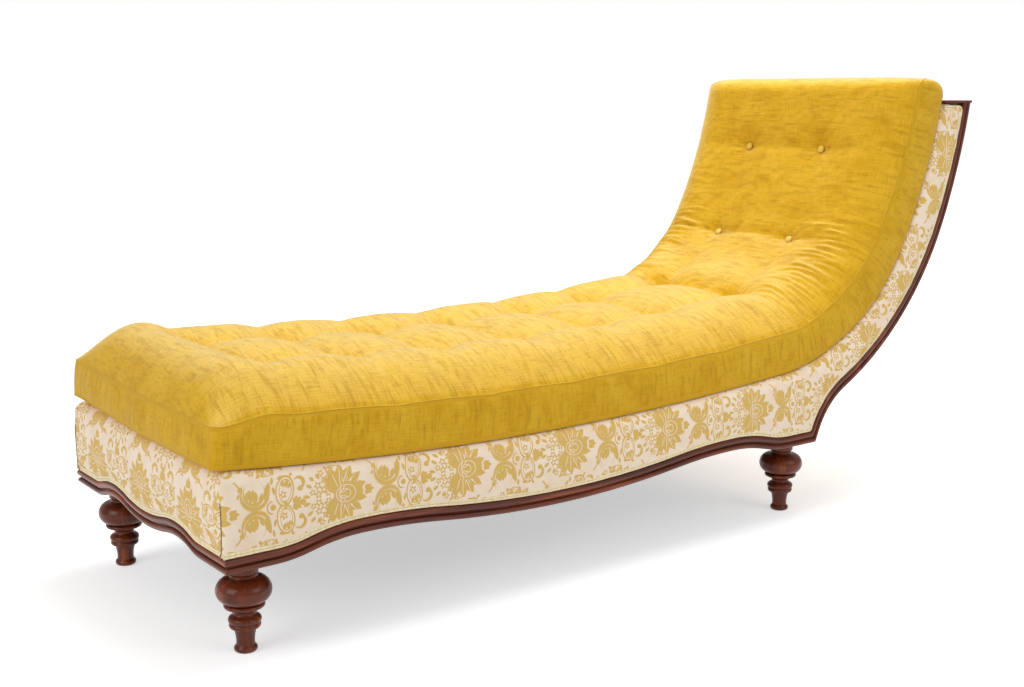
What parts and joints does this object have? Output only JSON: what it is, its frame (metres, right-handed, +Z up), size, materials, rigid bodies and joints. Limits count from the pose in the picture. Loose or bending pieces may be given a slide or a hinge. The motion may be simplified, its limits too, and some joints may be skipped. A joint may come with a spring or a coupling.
{
  "type": "fainting couch",
  "caption": "Long backless daybed with one high raked end, serpentine show-wood mouldings, turned feet, damask base and a loose button-tufted velvet mattress.",
  "frame": {"origin": "on the floor under the middle of the couch", "axes": "+X along the length towards the raised head end, +Z up, and -Y is the long side that the picture shows"},
  "size_m": [1.9732, 0.6914, 0.984],
  "materials": {
    "mahogany": "satin polish",
    "beech": "planed, unfinished",
    "damask": "woven satin damask",
    "double_welt": "two corded welts",
    "velvet": "slubbed chenille velvet",
    "button_velvet": "covered buttons",
    "filling": "layered felt and fibre",
    "jute": "woven webbing",
    "calico": "plain cloth",
    "cambric": "thin black lining",
    "twine": "waxed twine",
    "steel": "bright"
  },
  "bodies": {
    "couch": {"back_cross_webbing": "jute", "block_screws": "steel", "crest_cap": "mahogany", "crest_rail": "beech", "deck_cover": "calico", "deck_hessian": "jute", "deck_stuffing": "filling", "dust_cover": "cambric", "foot_end_cover": "damask", "foot_end_front_foot": "mahogany", "foot_end_moulding": "mahogany", "foot_end_rear_foot": "mahogany", "foot_end_stuffing": "filling", "foot_end_welt": "double_welt", "foot_rail": "beech", "frame_dowels": "beech", "front_back_moulding": "mahogany", "front_back_post": "beech", "front_back_welt": "double_welt", "front_corner_block": "beech", "front_knee": "beech", "front_seat_moulding": "mahogany", "front_seat_welt": "double_welt", "front_side_cover": "damask", "front_side_rail": "beech", "front_side_stuffing": "filling", "head_end_front_foot": "mahogany", "head_end_rear_foot": "mahogany", "head_rail": "beech", "knee_rail": "beech", "long_webbing": "jute", "outside_back_cover": "damask", "outside_back_rail": "beech", "rear_back_moulding": "mahogany", "rear_back_post": "beech", "rear_back_welt": "double_welt", "rear_corner_block": "beech", "rear_knee": "beech", "rear_seat_moulding": "mahogany", "rear_seat_welt": "double_welt", "rear_side_cover": "damask", "rear_side_rail": "beech", "rear_side_stuffing": "filling", "seat_cross_webbing": "jute", "seat_stretcher_1": "beech", "seat_stretcher_2": "beech"},
    "mattress": {"mattress_cover": "velvet", "mattress_core": "beech", "tuft_twines": "twine", "underside_washers": "filling", "seat_buttons": "button_velvet", "back_buttons": "button_velvet"}
  },
  "joints": [
    {"name": "mattress_lift", "type": "slide", "parent": "couch", "child": "mattress", "axis": [0, 0, 1], "range_m": [0, 0.4]}
  ]
}
